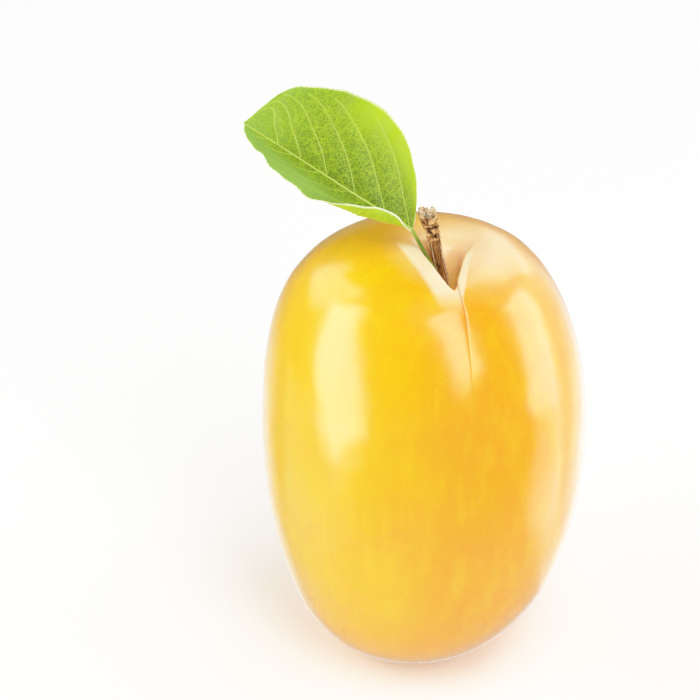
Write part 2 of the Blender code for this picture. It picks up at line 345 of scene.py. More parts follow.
seam_distance = add(body, TIMES, radius, from_seam)
on_right = add(body, MATH, seam_distance, 0.0, operation="GREATER_THAN")
flank = add(body, TIMES_PLUS, on_right, 0.2 * MM, 2.2 * MM)
bevel = add(body, TIMES_PLUS, on_right, 2.0 * MM, 1.2 * MM)
step = add(body, TIMES, add(body, TIMES_PLUS, on_right, -1.3, 0.3), size["Right lobe step"])
below_rim = add(body, LARGER, add(body, MINUS, polar, RIM_ANGLE), 0.0)
entry = add(body, SMOOTH_RAMP, polar, 0.0, RIM_ANGLE, 0.0, 1.0)
off_seam = add(body, MATH, seam_distance, operation="ABSOLUTE")
pressed = 0.0
for depth, fades_over, width in (
    (size["Valley depth"], math.radians(7), flank),
    (step, math.radians(27), bevel),
    (size["Seam depth"], math.radians(24), SEAM_WIDTH),
):
    fading = add(body, POWER, add(body, OVER, below_rim, fades_over), 2.0)
    sideways = add(body, OVER, off_seam, width)
    both = add(body, TIMES, add(body, PLUS, fading, sideways), -1.0)
    groove = add(body, MATH, both, operation="EXPONENT")
    pressed = add(body, TIMES_PLUS, groove, depth, pressed)
pressed = add(body, TIMES, pressed, entry)
on_seam = add(body, TIMES, groove, entry)
print("suture starts at azimuth", round(math.degrees(SEAM_AZIMUTH)), "degrees")

# %% [markdown]
# Four more departures from roundness. One shoulder swells where the fruit grew fastest, the whole
# body bows a little to one side, its foot leans the other way, and the middle of its top sits off
# centre. Slight lumps from noise come with them, and make the edges of a reflection wander the way
# they do on real fruit.

# %% Swell, bow and shift the body
SWELL_WAY, SWELL_SPREAD = Vector((-0.45, 0.05, 0.88)).normalized(), math.radians(30)
LUMP_SIZE = 11 * MM
BOW, FOOT_LEAN, FOOT_HEIGHT = 0.55 * MM, -0.9 * MM, 14 * MM
TOP_SHIFT = (3.5 * MM, -2.5 * MM, 0.0)

swell_angle = add(body, VECTOR, outwards, tuple(SWELL_WAY), operation="DOT_PRODUCT", out=1)
swell_angle = add(body, MATH, swell_angle, operation="ARCCOSINE")
push = add(body, TIMES, bell(swell_angle, SWELL_SPREAD, 2.0), size["Swelling"])
push = add(body, MINUS, push, pressed)

lumps = add(body, NOISE, turned, named={"Scale": 1 / LUMP_SIZE, "Detail": 2.5, "Roughness": 0.45})
lumps = add(body, MINUS, lumps, 0.5)
clear_of_table = add(body, SMOOTH_RAMP, height, 1 * MM, 12 * MM, 0.0, 1.0)
lumps = add(body, TIMES, lumps, clear_of_table)
clear_of_cavity = add(body, RAMP, radius, 3 * MM, 9 * MM, 0.0, 1.0)
lump_height = add(body, TIMES, clear_of_cavity, size["Unevenness"])
push = add(body, PLUS, push, add(body, TIMES, lumps, lump_height))
shaped = add(body, VECTOR_PLUS, add(body, VECTOR, outwards, named={3: push}, operation="SCALE"), turned)

bow = add(body, TIMES, add(body, OVER, height, size["Height"]), math.pi)
bow = add(body, TIMES, add(body, MATH, bow, operation="SINE"), BOW)
lean = add(body, SMOOTH_RAMP, height, 0.0, FOOT_HEIGHT, FOOT_LEAN, 0.0)
bow = add(body, PLUS, bow, lean)
shaped = add(body, VECTOR_PLUS, shaped, add(body, JOIN, bow))

off_centre = add(body, SMOOTH_RAMP, reach, 0.0, 1.0, 1.0, 0.0)
off_centre = add(body, TIMES, off_centre, is_upper)
shift = add(body, VECTOR, TOP_SHIFT, named={3: off_centre}, operation="SCALE")
shaped = add(body, VECTOR_PLUS, shaped, shift)
print("body nodes so far:", len(body.nodes))

# %% [markdown]
# The stalk cavity is cut last, as seen from above. Its mouth is the wedge between two lines, the lips,
# that run together towards the front. Inside the wedge the skin drops to a narrow pit, and outside it
# stays as it is, so each lip is a real edge.

# %% Cut the stalk cavity
LIP_LEFT_FROM, LIP_LEFT_TO = Vector((-0.65, -0.8)) * MM, Vector((2.6, -7.3)) * MM
LIP_RIGHT_FROM, LIP_RIGHT_TO = Vector((4.85, -3.0)) * MM, Vector((4.25, -7.8)) * MM
FLARE_FROM, LIP_FLARE = -3.6 * MM, 0.06 / MM
PIT_PLACE, PIT_POWER, CAVITY_FLOOR = Vector((3.2, -3.2)) * MM, 1.8, 51.8 * MM
plan_x, plan_y, plan_z = add(body, SPLIT, shaped).node.outputs
plan = add(body, JOIN, plan_x, plan_y)


def beyond_line(start, end):
    """How far a point lies to the left of the line from start to end, seen from above."""
    way = (end - start).normalized()
    along_x = add(body, TIMES, add(body, MINUS, plan_x, start.x), -way.y)
    return add(body, TIMES_PLUS, add(body, MINUS, plan_y, start.y), way.x, along_x)


def around(place, width, power):
    """1 at a place on the top, seen from above, falling to 0 around it."""
    return bell(add(body, VECTOR, plan, (*place, 0.0), operation="DISTANCE", out=1), width, power)


left_of_lip = beyond_line(LIP_LEFT_FROM, LIP_LEFT_TO)
right_of_lip = beyond_line(LIP_RIGHT_TO, LIP_RIGHT_FROM)
flare = add(body, LARGER, add(body, MINUS, plan_y, FLARE_FROM), 0.0)
flare = add(body, TIMES, add(body, POWER, flare, 2.0), LIP_FLARE)
right_of_lip = add(body, PLUS, right_of_lip, flare)
mouth = is_upper
for measure, starts, ends in (
    (left_of_lip, -0.25 * MM, 0.55 * MM),
    (right_of_lip, -0.2 * MM, 1.3 * MM),
    (plan_y, -10.0 * MM, -7.6 * MM),
):
    rise = add(body, SMOOTH_RAMP, measure, starts, ends, 0.0, 1.0)
    mouth = add(body, TIMES, mouth, rise)

pit_drop = add(body, TIMES, around(PIT_PLACE, size["Cavity radius"], PIT_POWER), size["Cavity depth"])
to_front = add(body, SMOOTH_RAMP, plan_y, 0.5 * MM, -4.0 * MM, 0.0, 1.0)
drop = add(body, TIMES_PLUS, to_front, size["Lip drop"], pit_drop)
sunk = add(body, MINUS, plan_z, add(body, TIMES, mouth, drop))
sunk = add(body, LARGER, sunk, add(body, MATH, plan_z, CAVITY_FLOOR, operation="MINIMUM"))
shaped = add(body, JOIN, plan_x, plan_y, sunk)
print("body nodes so far:", len(body.nodes))

# %% [markdown]
# Four numbers are stored on the points for the skin's material: how far inside the cavity a point is,
# how much bloom and painted sheen it wears, how far it is on a lip's painted highlight band, and how
# near it is to the seam.

# %% Mark the skin and grow it
BLOOM_AND_SHEEN_PLACE, BLOOM_AND_SHEEN_RADIUS, BLOOM_AND_SHEEN_POWER = Vector((5.4, -0.4)) * MM, 7.9 * MM, 2.6
LEFT_LIP_WIDTH, RIGHT_LIP_WIDTH = 2.9 * MM, 1.2 * MM
SAME_POINT = 0.002 * MM

pit = add(body, RAMP, sunk, 57.2 * MM, 52.5 * MM, 0.0, 1.0)
near_axis = add(body, RAMP, radius, 9 * MM, 6 * MM, 0.0, 1.0)
pit = add(body, TIMES, pit, add(body, TIMES, near_axis, is_upper))
# Bloom round a place beside the cavity, which is also painted sheen for the light that the top mirrors.
bloom_and_sheen_mark = add(body, TIMES, around(BLOOM_AND_SHEEN_PLACE, BLOOM_AND_SHEEN_RADIUS, BLOOM_AND_SHEEN_POWER), is_upper)
# Bands along the two lips, painted pale as their highlights.
lip = 0.0
for measure, band in ((left_of_lip, LEFT_LIP_WIDTH), (right_of_lip, RIGHT_LIP_WIDTH)):
    outer = add(body, SMOOTH_RAMP, measure, -band, -0.65 * band, 0.0, 1.0)
    inner = add(body, RAMP, measure, 0.0, 0.25 * MM, 1.0, 0.0)
    lip = add(body, LARGER, lip, add(body, TIMES, outer, inner))
for starts, ends in ((-0.2 * MM, -1.8 * MM), (-12.2 * MM, -9.8 * MM)):
    lip = add(body, TIMES, lip, add(body, RAMP, plan_y, starts, ends, 0.0, 1.0))
lip = add(body, TIMES, lip, is_upper)

marked = grid
for name, number in (("in_cavity", pit), ("bloom_and_sheen", bloom_and_sheen_mark), ("lip_highlight", lip), ("on_seam", on_seam)):
    marked = add(body, "GeometryNodeStoreNamedAttribute", marked, named={"Name": name, 3: number})
wrapped = add(body, "GeometryNodeSetPosition", marked, named={"Position": shaped})
wrapped = add(body, "GeometryNodeMergeByDistance", wrapped, named={"Distance": SAME_POINT})
close_tree(body, wrapped, plum_skin)

fruit_skin = grown("fruit_skin", body, BODY_SIZES, bpy.data.meshes.new("nothing"))
print("body tree nodes:", len(body.nodes))
finished(fruit_skin, "fruit")

# %% [markdown]
# ## Lenticels: the skin's breathing pores
#
# Plum skin is sprinkled with lenticels, corky pores about a fifth of a millimetre wide and a little
# paler than the skin. They could be painted as dots. Here each is a tiny real dome, so that it catches
# the light and is there in the mesh too. Geometry Nodes scatters them over the skin, no closer than
# 1.5 mm to each other, and leaves out the stalk cavity and the spot that the plum stands on.

# %% Scatter the lenticels
lenticel_cork, t = new_material("lenticel_cork")
place = add(t, "ShaderNodeTexCoord", out=3)
cork_grain = add(t, NOISE, place, named={"Scale": 1 / (2 * MM)})
cork = add(t, MIX, cork_grain, named={6: linear("#fbd24a"), 7: linear("#f9c22e")}, **OF_COLOURS)
cork = add(t, SURFACE, named={"Base Color": cork, "Roughness": 0.5,
           "Subsurface Weight": 0.3, "Subsurface Radius": (1.0, 0.5, 0.12), "Subsurface Scale": 1 * MM})
add(t, OUTPUT, cork)

LENTICEL_SIZES = {
    "Spacing": 1.5 * MM, "Most per m2": 3.5e5, "Seed": 7,
    "Pore radius": 0.1 * MM, "Proud by": 0.018 * MM,
}
scatter, size = new_tree("lenticels", LENTICEL_SIZES)
skin_in = scatter.nodes["Group Input"].outputs[0]
_, _, height = add(scatter, SPLIT, add(scatter, "GeometryNodeInputPosition")).node.outputs
cavity = add(scatter, "GeometryNodeInputNamedAttribute", "in_cavity", data_type="FLOAT")
is_open = add(scatter, MATH, cavity, 0.1, operation="LESS_THAN")
is_clear = add(scatter, MATH, height, 1.5 * MM, operation="GREATER_THAN")
chosen = add(scatter, TIMES, is_open, is_clear)
pores = add(scatter, "GeometryNodeDistributePointsOnFaces", skin_in, chosen, size["Spacing"],
            size["Most per m2"], named={"Seed": size["Seed"]}, distribute_method="POISSON")
half_radius = add(scatter, TIMES, size["Pore radius"], 0.5)
tall = add(scatter, TIMES, size["Proud by"], 2.0)
dome = add(scatter, "GeometryNodeMeshCone", 8, 1, 1, half_radius, size["Pore radius"], tall)
half_sunk = add(scatter, TIMES, size["Proud by"], -1.0)
half_sunk = add(scatter, JOIN, 0.0, 0.0, half_sunk)
dome = add(scatter, "GeometryNodeTransform", dome, named={"Translation": half_sunk})
growth = add(scatter, "FunctionNodeRandomValue", named={2: 0.6, 3: 1.3, "Seed": 3}, out=1)
dotted = add(scatter, "GeometryNodeInstanceOnPoints", pores, named={
    "Instance": dome, "Rotation": pores.node.outputs["Rotation"], "Scale": growth})
close_tree(scatter, dotted, lenticel_cork)

lenticels = grown("lenticels", scatter, LENTICEL_SIZES, fruit_skin.data.copy())
finished(lenticels)

# %% [markdown]
# ## The stalk: a dead shoot with cracked bark
#
# The stalk is a woody twig that has dried and snapped. Its bark has shrunk into lengthwise ridges with
# dark fissures between, the knuckle near its end carries the ring scars of old bud scales, and the
# snapped end is ragged. A displaced texture could fake this. A mesh of fine rings is better, because
# the fissures and the ragged end are then real and cast shadows. Each point of a ring is pushed in or
# out by noise: stretched along the stalk where the ridges are, and round lumps on the knuckle.

# %% Where the stalk runs
STALK_FOOT = Vector((2.95, -1.35, 51.6)) * MM
STALK_TIP = Vector((0.5, -1.2, 63.4)) * MM
STALK_BEND = Vector((0.0, 0.1, 0)) * MM
STALK_RADII = (
    (0, 0.72), (0.12, 0.68), (0.3, 0.66), (0.6, 0.68), (0.74, 0.84), (0.86, 0.98), (0.95, 1.08), (1, 0.97),
)
STALK_RINGS, STALK_SIDES = 200, 96

stalk_line = interpolate_bezier(STALK_FOOT, STALK_FOOT.lerp(STALK_TIP, 0.33) + STALK_BEND,
                                STALK_FOOT.lerp(STALK_TIP, 0.66) + STALK_BEND, STALK_TIP, STALK_RINGS)
shares, widths = zip(*STALK_RADII)
stalk_length = sum((b - a).length for a, b in zip(stalk_line, stalk_line[1:])) / MM
print("stalk:", round(stalk_length, 1), "mm long")


def smooth_step(share):
    """0 below 0, 1 above 1, and a smooth rise between."""
    share = np.clip(share, 0, 1)
    return share * share * (3 - 2 * share)


def spoke(angle):
    """One unit outwards from an upright axis, at an angle round it."""
    return Vector((math.cos(angle), math.sin(angle), 0))


# %% Crack the bark
RIDGE, FISSURE, FIBRE, LUMP, CRUMB, SCAR = 0.07, 0.13, 0.05, 0.26, 0.16, 0.1
FISSURE_SHARE, SCAR_SPACING = 0.11, 0.62
KNUCKLE_FROM, KNUCKLE_BLEND, RAGGED_FROM, RAGGED_BLEND = 0.58, 0.16, 0.9, 0.1


def bark_relief(share, angle):
    """How far the bark stands out, in mm, at a share of the stalk's length and an angle round it."""
    way = spoke(angle)
    along = Vector((0, 0, share * stalk_length))
    on_knuckle = float(smooth_step((share - KNUCKLE_FROM) / KNUCKLE_BLEND))
    ridge = noise.noise(way * 2.1 + along * 0.22)
    fissure = max(0.0, 1 - abs(ridge) / FISSURE_SHARE)
    fibre = noise.noise(way * 6.0 + along * 0.5 + Vector((9, 0, 0)))
    lump = noise.noise(way * 1.3 + along * 1.25 + Vector((0, 5, 0)))
    crumb = noise.noise(way * 3.6 + along * 3.2 + Vector((3, 3, 0)))
    scar = abs(math.sin(math.pi * (along.z / SCAR_SPACING + 0.5 * lump)))
    depth = RIDGE * ridge - FISSURE * fissure * (1 - 0.4 * on_knuckle) + FIBRE * fibre
    return depth + on_knuckle * (LUMP * lump + CRUMB * crumb + SCAR * (scar - 0.6))


def stalk_ring(i):
    """One ring of points round the stalk, and how far each stands out."""
    share = i / (STALK_RINGS - 1)
    radius = float(np.interp(share, shares, widths))
    radius *= 1 + 0.15 * float(smooth_step(1 - share / 0.07))
    ring, reliefs = [], []
    for j in range(STALK_SIDES):
        angle = math.tau * j / STALK_SIDES
        relief = bark_relief(share, angle)
        way = spoke(angle)
        ragged = 0.75 * noise.noise(way * 2.4 + Vector((0, 0, 8)))
        ragged *= float(smooth_step((share - RAGGED_FROM) / RAGGED_BLEND))
        ring.append(stalk_line[i] + (way * (radius + relief) + Vector((0, 0, ragged))) * MM)
        reliefs.append(relief)
    return ring, reliefs


print("a fissure's floor lies", round(-bark_relief(0.3, 1.0), 3), "mm below the bark, at one place")

# %% [markdown]
# The rings are joined by strips of faces. The foot is closed by one point, hidden in the fruit. The
# snapped end is closed by rings that shrink to a point and rise and fall like torn wood. The relief is
# also stored on the points, because the bark's colour follows it: dark in the fissures, which is painted
# shade, pale tan on the ridges, which is painted highlight, and pale where fresh wood shows at the break.

# %% Loft the stalk
def meshed(name, points, faces, material):
    """An object made of points and faces, in one material."""
    mesh = bpy.data.meshes.new(name)
    mesh.from_pydata(points, [], faces)
    mesh.materials.append(material)
    return placed(name, mesh)


def strips(rings, sides):
    """Faces that join each ring of points to the next."""
    return [(low + j, low + (j + 1) % sides, low + sides + (j + 1) % sides, low + sides + j)
            for low in range(0, (rings - 1) * sides, sides) for j in range(sides)]


def lofted(name, rings, material, cap_start, cap_end):
    """A closed, smooth mesh through rings of points, with a single point at each end."""
    points = [point for ring in rings for point in ring] + [cap_start, cap_end]
    sides = len(rings[0])
    last = (len(rings) - 1) * sides
    faces = strips(len(rings), sides)
    faces += [((j + 1) % sides, j, len(points) - 2) for j in range(sides)]
    faces += [(last + j, last + (j + 1) % sides, len(points) - 1) for j in range(sides)]
    piece = meshed(name, points, faces, material)
    piece.data.shade_smooth()
    return piece


def store(piece, name, values):
    """Stores one number on each point of a piece, for its material to read."""
    attribute = piece.data.attributes.new(name, "FLOAT", "POINT")
    attribute.data.foreach_set("value", np.asarray(values, dtype=np.float32))


stalk_bark, t = new_material("cracked_bark")
place = add(t, "ShaderNodeTexCoord", out=3)
relief = add(t, ATTRIBUTE, attribute_name="relief", out=2)
torn = add(t, ATTRIBUTE, attribute_name="torn", out=2)
fibre_place = add(t, "ShaderNodeMapping", place, named={"Scale": (1 / 0.16, 1 / 0.16, 1 / 1.6)})
fibres = add(t, NOISE, fibre_place, named={"Scale": 1 / MM, "Detail": 3.0, "Roughness": 0.65})
crumbs = add(t, NOISE, place, named={"Scale": 1 / (0.35 * MM), "Detail": 3.0})
level = add(t, PLUS, relief, add(t, RAMP, fibres, 0.3, 0.7, -0.07, 0.07))
# The fissures are painted dark as shade, and the ridges painted pale as highlight.
clear_of_fissure_shade = add(t, RAMP, level, -0.13, 0.0, 0.0, 1.0)
ridge_highlight = add(t, RAMP, level, 0.0, 0.13, 0.0, 1.0)
fresh_wood = add(t, TIMES, torn, add(t, RAMP, crumbs, 0.35, 0.6, 0.1, 0.9))
# The dark base is painted shade in the fissures; the ridge colour is painted highlight.
bark = linear("#3c200c")
for share, colour in ((clear_of_fissure_shade, "#96662c"), (ridge_highlight, "#e0b67c"), (fresh_wood, "#dfcdaa")):
    bark = add(t, MIX, share, named={6: bark, 7: linear(colour)}, **OF_COLOURS)
rough = add(t, BUMP, named={"Strength": 0.6, "Distance": 0.04 * MM, "Height": fibres})
bark = add(t, SURFACE, named={"Base Color": bark, "Roughness": 0.82, "Normal": rough})
add(t, OUTPUT, bark)

TORN_FROM, TORN_BLEND, SPLINTER_SIZE = 0.93, 0.07, 0.42 * MM
END_RINGS = (0.93, 0.84, 0.72, 0.58, 0.42, 0.24)
stalk_rings, reliefs, breaks = [], [], []
for i in range(STALK_RINGS):
    ring, ring_relief = stalk_ring(i)
    stalk_rings.append(ring)
    reliefs += ring_relief
    breaks += [float(smooth_step((i / (STALK_RINGS - 1) - TORN_FROM) / TORN_BLEND))] * STALK_SIDES
end_ring = stalk_rings[-1]
for shrink in END_RINGS:
    ring = []
    for point in end_ring:
        inside = STALK_TIP.lerp(point, shrink)
        splinter = noise.noise(Vector((inside.x, inside.y, 0)) / SPLINTER_SIZE)
        inside.z += (0.35 * splinter - 0.25 * (1 - shrink)) * MM
        ring.append(inside)
        reliefs.append(0.2 * splinter)
        breaks.append(1.0)
    stalk_rings.append(ring)
stalk = lofted("stalk_bark", stalk_rings, stalk_bark, STALK_FOOT - Vector((0, 0, 0.2 * MM)),
               STALK_TIP - Vector((0, 0, 0.25 * MM)))
store(stalk, "relief", reliefs + [0, 0])
store(stalk, "torn", breaks + [0, 1])
finished(stalk, "stalk")

# %% [markdown]
# ## Bark fibres
#
# Pale strands of bast, the fibre under the bark, lift off along the stalk and stick out at the break.
# Each is a tapered tube along its own line. The same tree will make the leaf's veins: it sweeps a
# circle along every line it is given, as thick at each point as that point's radius says.

# %% Sweep tubes along lines
TUBE_SIZES = {"Thickness": 1.0, "Sides": 8}


def tube_tree(finish):
    """The tapered tube tree with one finish."""
    tree, size = new_tree("tapered_tubes", TUBE_SIZES)
    circle = add(tree, "GeometryNodeCurvePrimitiveCircle", size["Sides"], named={"Radius": 1.0})
    thick = add(tree, TIMES, add(tree, "GeometryNodeInputRadius"), size["Thickness"])
    swept = add(tree, "GeometryNodeCurveToMesh", tree.nodes["Group Input"].outputs[0], circle, thick, True)
    close_tree(tree, swept, finish)
    return tree


def lines_seed(name, lines):
    """Curve data with one open line for each list of (point, radius) pairs."""
    seed = bpy.data.curves.new(name, "CURVE")
    seed.dimensions = "3D"
    for line in lines:
        spline = seed.splines.new("POLY")
        spline.points.add(len(line) - 1)
        for point, (place, radius) in zip(spline.points, line):
            point.co = (*place, 1)
            point.radius = radius
    return seed


bast_fibre, t = new_material("bast_fibre")
place = add(t, "ShaderNodeTexCoord", out=3)
strands = add(t, NOISE, place, named={"Scale": 1 / (0.5 * MM), "Detail": 2.0})
straw = add(t, MIX, add(t, RAMP, strands, 0.35, 0.65), **OF_COLOURS,
            named={6: linear("#c49a68"), 7: linear("#f4e4c4")})
straw = add(t, SURFACE, named={"Base Color": straw, "Roughness": 0.7})
add(t, OUTPUT, straw)

FIBRE_COUNT, FIBRE_POINTS, FIBRE_LIFT = 16, 14, 0.05
rng = np.random.default_rng(11)
fibre_lines = []
for strand in range(FIBRE_COUNT):
    angle, start = rng.uniform(0, math.tau), rng.uniform(0.02, 0.5)
    length, thick = rng.uniform(0.2, 0.42), rng.uniform(0.045, 0.085)
    line = []
    for k in range(FIBRE_POINTS):
        share = start + length * k / (FIBRE_POINTS - 1)
        turn = angle + 0.25 * math.sin(3 * share + strand)
        way = spoke(turn)
        radius = float(np.interp(share, shares, widths)) + max(0.0, bark_relief(share, turn))
        lift = FIBRE_LIFT * math.sin(math.pi * k / (FIBRE_POINTS - 1))
        centre = stalk_line[round(share * (STALK_RINGS - 1))]
        taper = math.sin(math.pi * (k + 0.6) / (FIBRE_POINTS + 0.2)) ** 0.5
        line.append((centre + way * (radius + lift) * MM, thick * MM * taper))
    fibre_lines.append(line)
bark_fibres = grown("bark_fibres", tube_tree(bast_fibre), {"Thickness": 1.0, "Sides": 7},
                    lines_seed("fibres", fibre_lines))
finished(bark_fibres)

# %% [markdown]
# ## The leaf blade
#
# A plum leaf is a thin blade, 25 mm long here, that folds up along its midrib like a half-open book.
# Its margin has fine forward-pointing teeth with a pale edge, the blade puffs up a little between the
# side veins, and near its base one margin rolls under so that the pale underside shows.
#
# A flat leaf could be drawn and bent with modifiers. Here a grid is laid over the leaf by rule instead:
# rows follow the midrib, a Bezier curve, and each row is a section line whose slope starts at the
# fold's angle and changes towards the margin. A grid like this makes it easy to draw teeth and veins in
# the leaf's own flat measures, as shares along and across it.

# %% Lay the leaf's rows along the midrib
BLADE_BASE = np.array((-1.3, -1.6, 60.9))
MIDRIB_START = np.array((-7.6, -2.0, 65.2))
MIDRIB_END = np.array((-15.2, 2.4, 68.6))
BLADE_TIP = np.array((-21.8, 7.0, 70.3))
FAR_HALF_FACES = np.array((0.05, -0.85, 0.53))
FAR_WIDTH, NEAR_WIDTH = 10.6, 6.5
FAR_OUTLINE, NEAR_OUTLINE = (0.66, 0.4, 0.1), (0.86, 0.84, 0.05)
FOLD_AT_BASE, FOLD_AT_TIP, CAMBER = math.radians(60), math.radians(74), math.radians(14)
ROLL, ROLL_LENGTH, ROLL_STATION, ROLL_SPREAD = math.radians(118), 3.2, 0.2, 0.18
LEAF_STALK_RADIUS = 0.28
ROWS, STEPS = 321, 56

along_leaf = np.linspace(0, 1, ROWS)
along_leaf = 0.55 * along_leaf + 0.45 * (0.5 - 0.5 * np.cos(math.pi * along_leaf))
s = along_leaf[:, None]


def bezier(share, start, start_pull, end_pull, end):
    """Points of a Bezier curve, for a column of shares of its way."""
    left = 1 - share
    return (left**3 * start + 3 * share * left**2 * start_pull
            + 3 * share**2 * left * end_pull + share**3 * end)


midrib = bezier(s, BLADE_BASE, MIDRIB_START, MIDRIB_END, BLADE_TIP)
ahead = np.gradient(midrib, axis=0)
midrib_at = np.concatenate(([0], np.cumsum(np.linalg.norm(np.diff(midrib, axis=0), axis=1))))
ahead /= np.linalg.norm(ahead, axis=1)[:, None]
across = np.cross(ahead, FAR_HALF_FACES)
across /= np.linalg.norm(across, axis=1)[:, None]
facing = np.cross(across, ahead)
print("midrib", round(midrib_at[-1], 1), "mm long")

# %% [markdown]
# Teeth are a saw wave along the margin: each rises slowly towards the leaf's tip and drops back
# quickly. Their pitch has to be even along the margin itself, which runs longer than the midrib, so
# the smooth margin's length is measured first.

# %% Cut the teeth
TOOTH_PITCH, TOOTH_HEIGHT, TOOTH_RISE, TOOTH_FALL = 0.62, 0.12, 0.78, 0.22


def half_width(share, widest, outline):
    """Distance from the midrib to the smooth margin, in mm."""
    at_base, at_tip, point_length = outline
    rounded = np.sin(math.pi * np.clip(share, 0.001, 0.9999)) ** (at_base + (at_tip - at_base) * share)
    point = smooth_step((1 - share) / point_length) ** 0.55
    return np.maximum(LEAF_STALK_RADIUS * (1 - share), widest * rounded * point)


def toothed(width, phase):
    """The half width with its teeth, and the length along the margin."""
    steps = np.hypot(np.diff(width), np.diff(midrib_at))
    margin_at = np.concatenate(([0], np.cumsum(steps)))
    saw = (margin_at / TOOTH_PITCH + phase) % 1
    tooth = np.minimum(saw / TOOTH_RISE, (1 - saw) / TOOTH_FALL)
    fade = smooth_step(along_leaf / 0.06) * smooth_step((1 - along_leaf) / 0.03)
    uneven = 0.75 + 0.25 * np.sin(1.7 * margin_at + phase)
    return width + TOOTH_HEIGHT * (tooth - 0.4) * fade * uneven, margin_at


far_width, far_margin_at = toothed(half_width(along_leaf, FAR_WIDTH, FAR_OUTLINE), 0.0)
near_width, near_margin_at = toothed(half_width(along_leaf, NEAR_WIDTH, NEAR_OUTLINE), 0.4)
print("teeth on the two margins:", [int(at[-1] / TOOTH_PITCH) for at in (far_margin_at, near_margin_at)])

# %% [markdown]
# Each half of a row is a line that starts at the midrib and turns as it goes out. The far half starts
# flat and cups by 14 degrees. The near half starts at about half the fold's angle and steepens to all
# of it over two millimetres. Near the leaf's base its last three millimetres turn on past the upright,
# which rolls that margin over.

# %% Bend the sections
FINE = 6
FOLD_AT_MIDRIB, FOLD_TO_COME, FOLDS_OVER = 0.45, 0.55, 2.2


def half_section(width, fold, roll):
    """(across, up) of each point of a half row, in mm, one line per row."""
    out = (np.arange(STEPS * FINE) + 0.5) / (STEPS * FINE) * width[:, None]
    folded = fold * (FOLD_AT_MIDRIB + FOLD_TO_COME * smooth_step(out / FOLDS_OVER))
    rolled = roll * smooth_step(1 - (width[:, None] - out) / ROLL_LENGTH)
    slope = folded - CAMBER * out / FAR_WIDTH + rolled
    step = width[:, None] / (STEPS * FINE)
    run = np.cumsum(np.cos(slope) * step, axis=1)[:, FINE - 1 :: FINE]
    rise = np.cumsum(np.sin(slope) * step, axis=1)[:, FINE - 1 :: FINE]
    return run, rise


fold = FOLD_AT_BASE + (FOLD_AT_TIP - FOLD_AT_BASE) * s
roll = ROLL * np.exp(-(((s - ROLL_STATION) / ROLL_SPREAD) ** 2))
roll = roll * smooth_step(near_width / LEAF_STALK_RADIUS - 1)[:, None]
near_run, near_rise = half_section(near_width, fold, roll)
far_run, far_rise = half_section(far_width, 0 * s, 0 * s)
none = np.zeros((ROWS, 1))
run = np.hstack((-near_run[:, ::-1], none, far_run))
rise = np.hstack((near_rise[:, ::-1], none, far_rise))
blade = midrib[:, None, :] + across[:, None, :] * run[..., None] + facing[:, None, :] * rise[..., None]

across_leaf = np.linspace(-1, 1, 2 * STEPS + 1)[None, :]
on_near = across_leaf < 0
half = np.where(on_near, near_width[:, None], far_width[:, None])
chart = np.dstack((np.broadcast_to(midrib_at[:, None], half.shape), across_leaf * half))
print("blade grid", blade.shape[:2], "and its flat chart in mm", chart.reshape(-1, 2).max(axis=0).round(1))

# %% [markdown]
# ## Where the veins run
#
# Side veins leave the midrib alternately, run out and forwards, and bend along the margin before they
# reach it. The lowest ones hug the margin, the upper ones run straighter. A power curve per vein gives
# that bend: the share across the half grows as a power of the share of the vein's own length.

# %% Draw the veins on the chart
VEIN_STARTS = (0.02, 0.17, 0.34, 0.50, 0.65, 0.78)
VEIN_ENDS = (0.46, 0.68, 0.80, 0.90, 0.96, 0.985)
VEIN_BENDS = (0.4, 0.7, 0.85, 0.95, 1.05, 1.1)
VEIN_REACH = 0.86
VEIN_POINTS = 28


def side_veins(side, offset):
    """Each side vein of one half as (share along, share across) points."""
    veins = []
    for start, end, bend in zip(VEIN_STARTS, VEIN_ENDS, VEIN_BENDS):
        t = np.linspace(0, 1, VEIN_POINTS)
        begin = start + offset * (0.2 + start)
        wiggle = 0.008 * np.sin(9 * t + 7 * start) * np.sin(math.pi * t)
        veins.append(np.column_stack((begin + (end - begin) * t + wiggle, side * VEIN_REACH * t**bend)))
    return veins


veins = side_veins(1, 0.0) + side_veins(-1, 0.05)


def on_chart(vein):
    """A vein's points in the chart's flat millimetres."""
    width = np.where(vein[:, 1] < 0, np.interp(vein[:, 0], along_leaf, near_width),
                     np.interp(vein[:, 0], along_leaf, far_width))
    return np.column_stack((np.interp(vein[:, 0], along_leaf, midrib_at), vein[:, 1] * width))


def distance_to(lines, points):
    """Distance of each point to the nearest of some lines of points."""
    nearest = np.full(len(points), np.inf)
    for line in lines:
        for a, b in zip(line, line[1:]):
            way = b - a
            share = np.clip((points - a) @ way / max(way @ way, 1e-9), 0, 1)
            nearest = np.minimum(nearest, np.linalg.norm(points - a - share[:, None] * way, axis=1))
    return nearest


flat_veins = [on_chart(vein) for vein in veins]
to_vein = distance_to(flat_veins, chart.reshape(-1, 2)).reshape(half.shape)
to_vein = np.minimum(to_vein, np.abs(chart[..., 1]))
print(len(veins), "side veins")

# %% [markdown]
# The blade is puffed up between the veins by a tenth of a millimetre, and its margin waves gently.
# Then it gets its thickness, 0.2 mm, which thins to nothing at the margin. The upper and lower faces
# share the margin's points, so the leaf is one closed skin.

# %% Puff, wave and thicken the blade
PUFF, PUFF_WIDTH, WAVE, HALF_THICKNESS = 0.11, 0.75, 0.16, 0.1
LONG_WAVE, SHORT_WAVE, NEAR_PUFF = 5.2, 2.9, 0.2


def blade_normals(grid):
    """Unit normals of the grid, on its upper side."""
    upwards = np.cross(np.gradient(grid, axis=1), np.gradient(grid, axis=0))
    upwards /= np.maximum(np.linalg.norm(upwards, axis=2), 1e-9)[..., None]
    return upwards * np.where(np.sum(upwards * facing[:, None, :], axis=2).mean() < 0, -1, 1)


